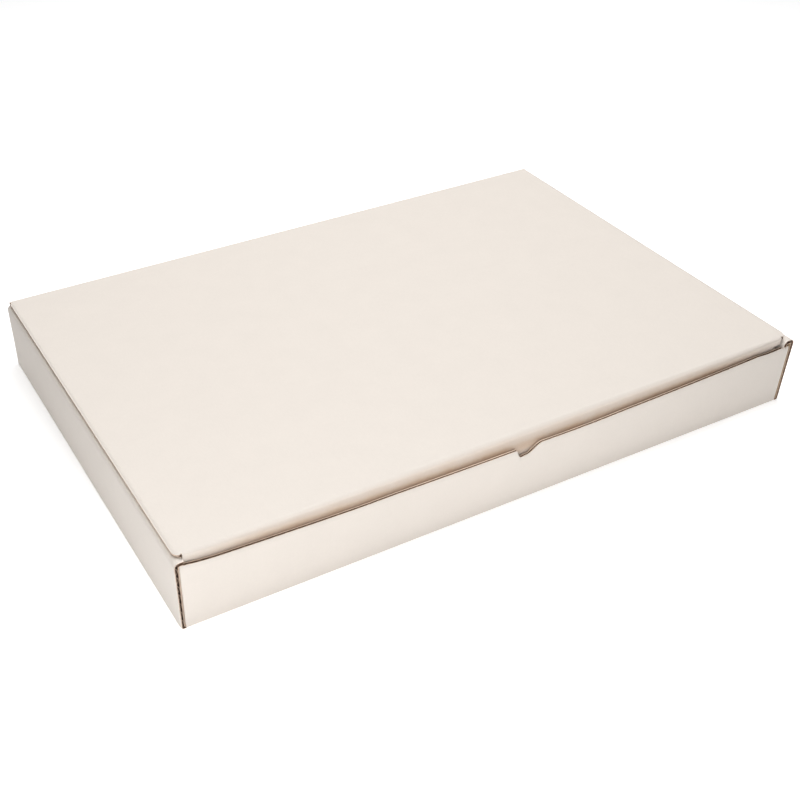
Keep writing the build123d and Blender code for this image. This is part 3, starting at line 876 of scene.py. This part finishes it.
def paper_group():
    """Node group of paper: blotches and fibres as a colour, and a relief of these and the ridges.

    Ridges are sin(2 pi u / pitch) of the piece's own map, whose u runs across the flutes.
    """
    tree = bpy.data.node_groups.new("Paper", "ShaderNodeTree")
    for way, kind, names in (
        ("INPUT", "Color", ("Colour", "Under")),
        ("INPUT", "Float", ("Blotch", "Fibre", "Ridge", "Pitch")),
        ("OUTPUT", "Color", ("Colour",)),
        ("OUTPUT", "Float", ("Height",)),
    ):
        for name in names:
            tree.interface.new_socket(name=name, socket_type="NodeSocket" + kind, in_out=way)
    given = tree.nodes.new("NodeGroupInput").outputs
    place = add_node(tree, "TexCoord").outputs["Object"]
    place_on_sheet = add_node(tree, "UVMap", uv_map="Sheet").outputs["UV"]
    shade_and_rub_part = add_node(tree, "Attribute", attribute_name="Rubbed").outputs["Fac"]

    def noise(scale, detail, rough, stretch):
        stretched = add_node(tree, "Mapping", {"Vector": place, "Scale": stretch}).outputs["Vector"]
        inputs = {"Vector": stretched, "Scale": scale, "Detail": detail, "Roughness": rough}
        return add_node(tree, "TexNoise", inputs).outputs["Fac"]

    def spread(texture, amount):
        """How far a noise is from its mean, times an input of the group."""
        return maths(tree, "MULTIPLY", maths(tree, "SUBTRACT", texture, NOISE_MEAN), given[amount])

    blotch = noise(scale=55.0, detail=5.0, rough=0.62, stretch=(1, 1, 1))
    fibre = noise(scale=900.0, detail=3.0, rough=0.6, stretch=(1.0, 0.35, 1.0))
    across = add_node(tree, "SeparateXYZ", {"Vector": place_on_sheet}).outputs["X"]
    turns = maths(tree, "DIVIDE", across, given["Pitch"])
    ridge = maths(tree, "SINE", maths(tree, "MULTIPLY", turns, 2 * math.pi))
    # Mix towards the rubbed-and-shaded colour: rubbed paper and painted shade on the roll, broken up by
    # the blotches
    patchy = maths(tree, "MULTIPLY", maths(tree, "ADD", blotch, 1 - NOISE_MEAN), shade_and_rub_part)
    papers = {"Factor": patchy, "A": given["Colour"], "B": given["Under"]}
    mixed = add_node(tree, "Mix", papers, data_type="RGBA").outputs["Result"]
    value = maths(tree, "ADD", spread(blotch, "Blotch"), spread(fibre, "Fibre"))
    tint = add_node(tree, "HueSaturation", {"Value": maths(tree, "ADD", value, 1.0), "Color": mixed})
    relief = maths(tree, "MULTIPLY", ridge, given["Ridge"])
    for texture, part in ((fibre, FIBRE_RELIEF), (blotch, BLOTCH_RELIEF)):
        relief = maths(tree, "ADD", relief, maths(tree, "MULTIPLY", texture, part))
    leave = tree.nodes.new("NodeGroupOutput")
    feed(tree, leave, {"Colour": tint.outputs["Color"], "Height": relief})


def paper_material(name, tint, blotch, fibre, ridge, roughness, relief):
    """A paper with its colour, fibres and relief from the shared group."""
    material = bpy.data.materials.new(name)
    material.use_nodes = True
    tree = material.node_tree
    looks = {
        "Colour": (*tint, 1),
        "Under": (*box("colours").rubbed_and_shaded, 1),
        "Blotch": blotch,
        "Fibre": fibre,
        "Ridge": ridge,
        "Pitch": box("board").pitch * MM,
    }
    paper = add_node(tree, "Group", looks, node_tree=bpy.data.node_groups["Paper"]).outputs
    heights = {"Strength": relief, "Distance": RELIEF_DEPTH * MM, "Height": paper["Height"]}
    inputs = {
        "Base Color": paper["Colour"],
        "Normal": add_node(tree, "Bump", heights).outputs["Normal"],
        "Roughness": roughness,
        "Specular IOR Level": 0.25,
    }
    feed(tree, tree.nodes["Principled BSDF"], inputs)


def floor_material():
    """A pale floor on a light table.

    Each glow near the box is strength / (1 + (d / reach)^2), with d the distance from its middle. The
    far glow rises smoothly with the distance from the front left corner, and to the right of a line
    along the box's left.
    """
    light = box("light")
    material = bpy.data.materials.new("floor")
    material.use_nodes = True
    tree = material.node_tree
    place = add_node(tree, "TexCoord").outputs["Object"]

    def measure(operation, vector):
        node = add_node(tree, "VectorMath", {0: place, 1: vector}, operation=operation)
        return node.outputs["Value"]

    def rise(value, start, full):
        inputs = {"Value": value, "From Min": start, "From Max": full}
        return add_node(tree, "MapRange", inputs, interpolation_type="SMOOTHSTEP").outputs["Result"]

    away = rise(measure("DISTANCE", (-0.35, -0.45, 0.0)), start=0.45, full=0.85)
    beside = rise(measure("DOT_PRODUCT", (0.96, -0.27, 0.0)), start=-0.42, full=-0.27)
    total = maths(tree, "MULTIPLY", maths(tree, "MULTIPLY", away, beside), light.far_glow)
    for strength, reach, middle in (
        (light.left_glow, 0.14, (-0.42, -0.20, 0.0)),
        (light.middle_glow, 0.16, (0.05, -0.31, 0.0)),
    ):
        part = maths(tree, "POWER", maths(tree, "DIVIDE", measure("DISTANCE", middle), reach), 2.0)
        glow = maths(tree, "DIVIDE", strength, maths(tree, "ADD", part, 1.0))
        total = maths(tree, "ADD", total, glow)
    inputs = {
        "Base Color": (*box("colours").floor, 1),
        "Roughness": 0.9,
        "Emission Color": (1, 1, 1, 1),
        "Emission Strength": total,
    }
    feed(tree, tree.nodes["Principled BSDF"], inputs)
    return material


def soft_light(name, place, aim, size, watts):
    """A square softbox that looks from a place at a point."""
    light = bpy.data.lights.new(name, "AREA")
    light.size, light.energy = size, watts
    lamp = bpy.data.objects.new(name, light)
    lamp.location = place
    lamp.rotation_euler = (Vector(aim) - Vector(place)).to_track_quat("-Z", "Y").to_euler()
    bpy.context.scene.collection.objects.link(lamp)


# Operators


class BOX_OT_papers(bpy.types.Operator):
    """Make the materials of the board's papers"""

    bl_idname = "box.papers"
    bl_label = "Papers"

    def execute(self, context):
        paper_group()
        for name, (tint, *looks) in PAPERS.items():
            paper_material(name, getattr(box("colours"), tint), *looks)
        return {"FINISHED"}


class BOX_OT_tray(bpy.types.Operator):
    """Fold the tray: base, side walls, front and back wall"""

    bl_idname = "box.tray"
    bl_label = "Tray"

    def execute(self, context):
        make_piece("tray_base", base_layers(), "tray")
        make_piece("tray_side_left", side_layers(-1), "tray")
        make_piece("tray_side_right", side_layers(1), "tray")
        make_piece("tray_front_wall", end_wall_layers(-1), "tray", node="tray")
        make_piece("tray_back_wall", end_wall_layers(1), "tray")
        return {"FINISHED"}


class BOX_OT_lid(bpy.types.Operator):
    """Fold the lid: panel, tuck flap and ears"""

    bl_idname = "box.lid"
    bl_label = "Lid"

    def execute(self, context):
        make_piece("lid_panel", lid_layers(), "lid", node="lid")
        for side, word in ((-1, "left"), (1, "right")):
            make_piece(f"lid_ear_{word}", ear_layers(side), "lid")
        return {"FINISHED"}


class BOX_OT_crease(bpy.types.Operator):
    """Bend the liners between the back wall and the lid"""

    bl_idname = "box.crease"
    bl_label = "Back crease"

    def execute(self, context):
        wall = (0, HALF_DEPTH * MM, RIM * MM)
        panel = (0, (HALF_DEPTH - BOARD) * MM, HEIGHT * MM)
        make_piece("back_crease", crease_layers(), ("tray", "lid", wall, panel))
        return {"FINISHED"}


class BOX_OT_stage(bpy.types.Operator):
    """Set the floor, the lights and the camera"""

    bl_idname = "box.stage"
    bl_label = "Stage"

    def execute(self, context):
        scene = context.scene
        mesh = bpy.data.meshes.new("floor")
        square = [(x * FLOOR_REACH, y * FLOOR_REACH, 0) for x, y in ((-1, -1), (1, -1), (1, 1), (-1, 1))]
        mesh.from_pydata(square, [], [(0, 1, 2, 3)])
        floor = bpy.data.objects.new("floor", mesh)
        mesh.materials.append(floor_material())
        scene.collection.objects.link(floor)

        world = bpy.data.worlds.new("studio")
        world.use_nodes = True
        tree = world.node_tree
        feed(tree, tree.nodes["Background"], {"Color": (1, 1, 1, 1), "Strength": WORLD_STRENGTH})
        scene.world = world
        for name, (place, aim, size) in SOFTBOXES.items():
            soft_light(name, place, aim, size, getattr(box("light"), name))

        data = bpy.data.cameras.new("photo_view")
        data.sensor_width = SENSOR
        data.lens = FOCAL_PIXELS / PHOTO_WIDTH * SENSOR
        data.shift_x = (PHOTO_WIDTH / 2 - LENS_AXIS_PIXEL[0]) / PHOTO_WIDTH
        data.shift_y = (LENS_AXIS_PIXEL[1] - PHOTO_WIDTH / 2) / PHOTO_WIDTH
        data.clip_start, data.clip_end = CLIP_NEAR, CLIP_FAR
        camera = bpy.data.objects.new("photo_view", data)
        azimuth, tilt = math.radians(CAMERA_AZIMUTH), math.radians(CAMERA_ELEVATION)
        level = math.cos(tilt)
        ahead = Vector((-math.sin(azimuth) * level, math.cos(azimuth) * level, -math.sin(tilt)))
        aimed = ahead.to_track_quat("-Z", "Y").to_matrix()
        roll = Matrix.Rotation(math.radians(CAMERA_ROLL), 3, "Z")
        camera.matrix_world = Matrix.Translation(Vector(CAMERA_PLACE) * MM) @ (aimed @ roll).to_4x4()
        scene.collection.objects.link(camera)
        scene.camera = camera
        scene.view_settings.view_transform = "Standard"
        return {"FINISHED"}


class BOX_PT_sidebar(bpy.types.Panel):
    """The box's pieces and sizes in the sidebar"""

    bl_label = "Corrugated Box"
    bl_idname = "BOX_PT_sidebar"
    bl_space_type = "VIEW_3D"
    bl_region_type = "UI"
    bl_category = "Box"

    def draw(self, context):
        for operator in OPERATORS:
            self.layout.operator(operator.bl_idname)
        for group in GROUPS:
            values = getattr(context.scene, group)
            column = self.layout.column(heading=values.bl_rna.description)
            for name in values.__annotations__:
                column.prop(values, name)


GROUPS = {
    "box_board": BoardSizes,
    "box_tray": TraySizes,
    "box_lid": LidSizes,
    "box_colours": BoxColours,
    "box_light": StageLight,
}
OPERATORS = (BOX_OT_papers, BOX_OT_tray, BOX_OT_lid, BOX_OT_crease, BOX_OT_stage)


def register():
    for group in GROUPS.values():
        bpy.utils.register_class(group)
    for operator in OPERATORS:
        bpy.utils.register_class(operator)
    bpy.utils.register_class(BOX_PT_sidebar)
    for name, group in GROUPS.items():
        setattr(bpy.types.Scene, name, PointerProperty(type=group))


def unregister():
    for name in GROUPS:
        delattr(bpy.types.Scene, name)
    bpy.utils.unregister_class(BOX_PT_sidebar)
    for operator in reversed(OPERATORS):
        bpy.utils.unregister_class(operator)
    for group in reversed(GROUPS.values()):
        bpy.utils.unregister_class(group)


def main():
    register()
    bpy.ops.box.papers()
    bpy.ops.box.tray()
    bpy.ops.box.lid()
    bpy.ops.box.crease()
    bpy.ops.box.stage()


if __name__ == "__main__":
    main()
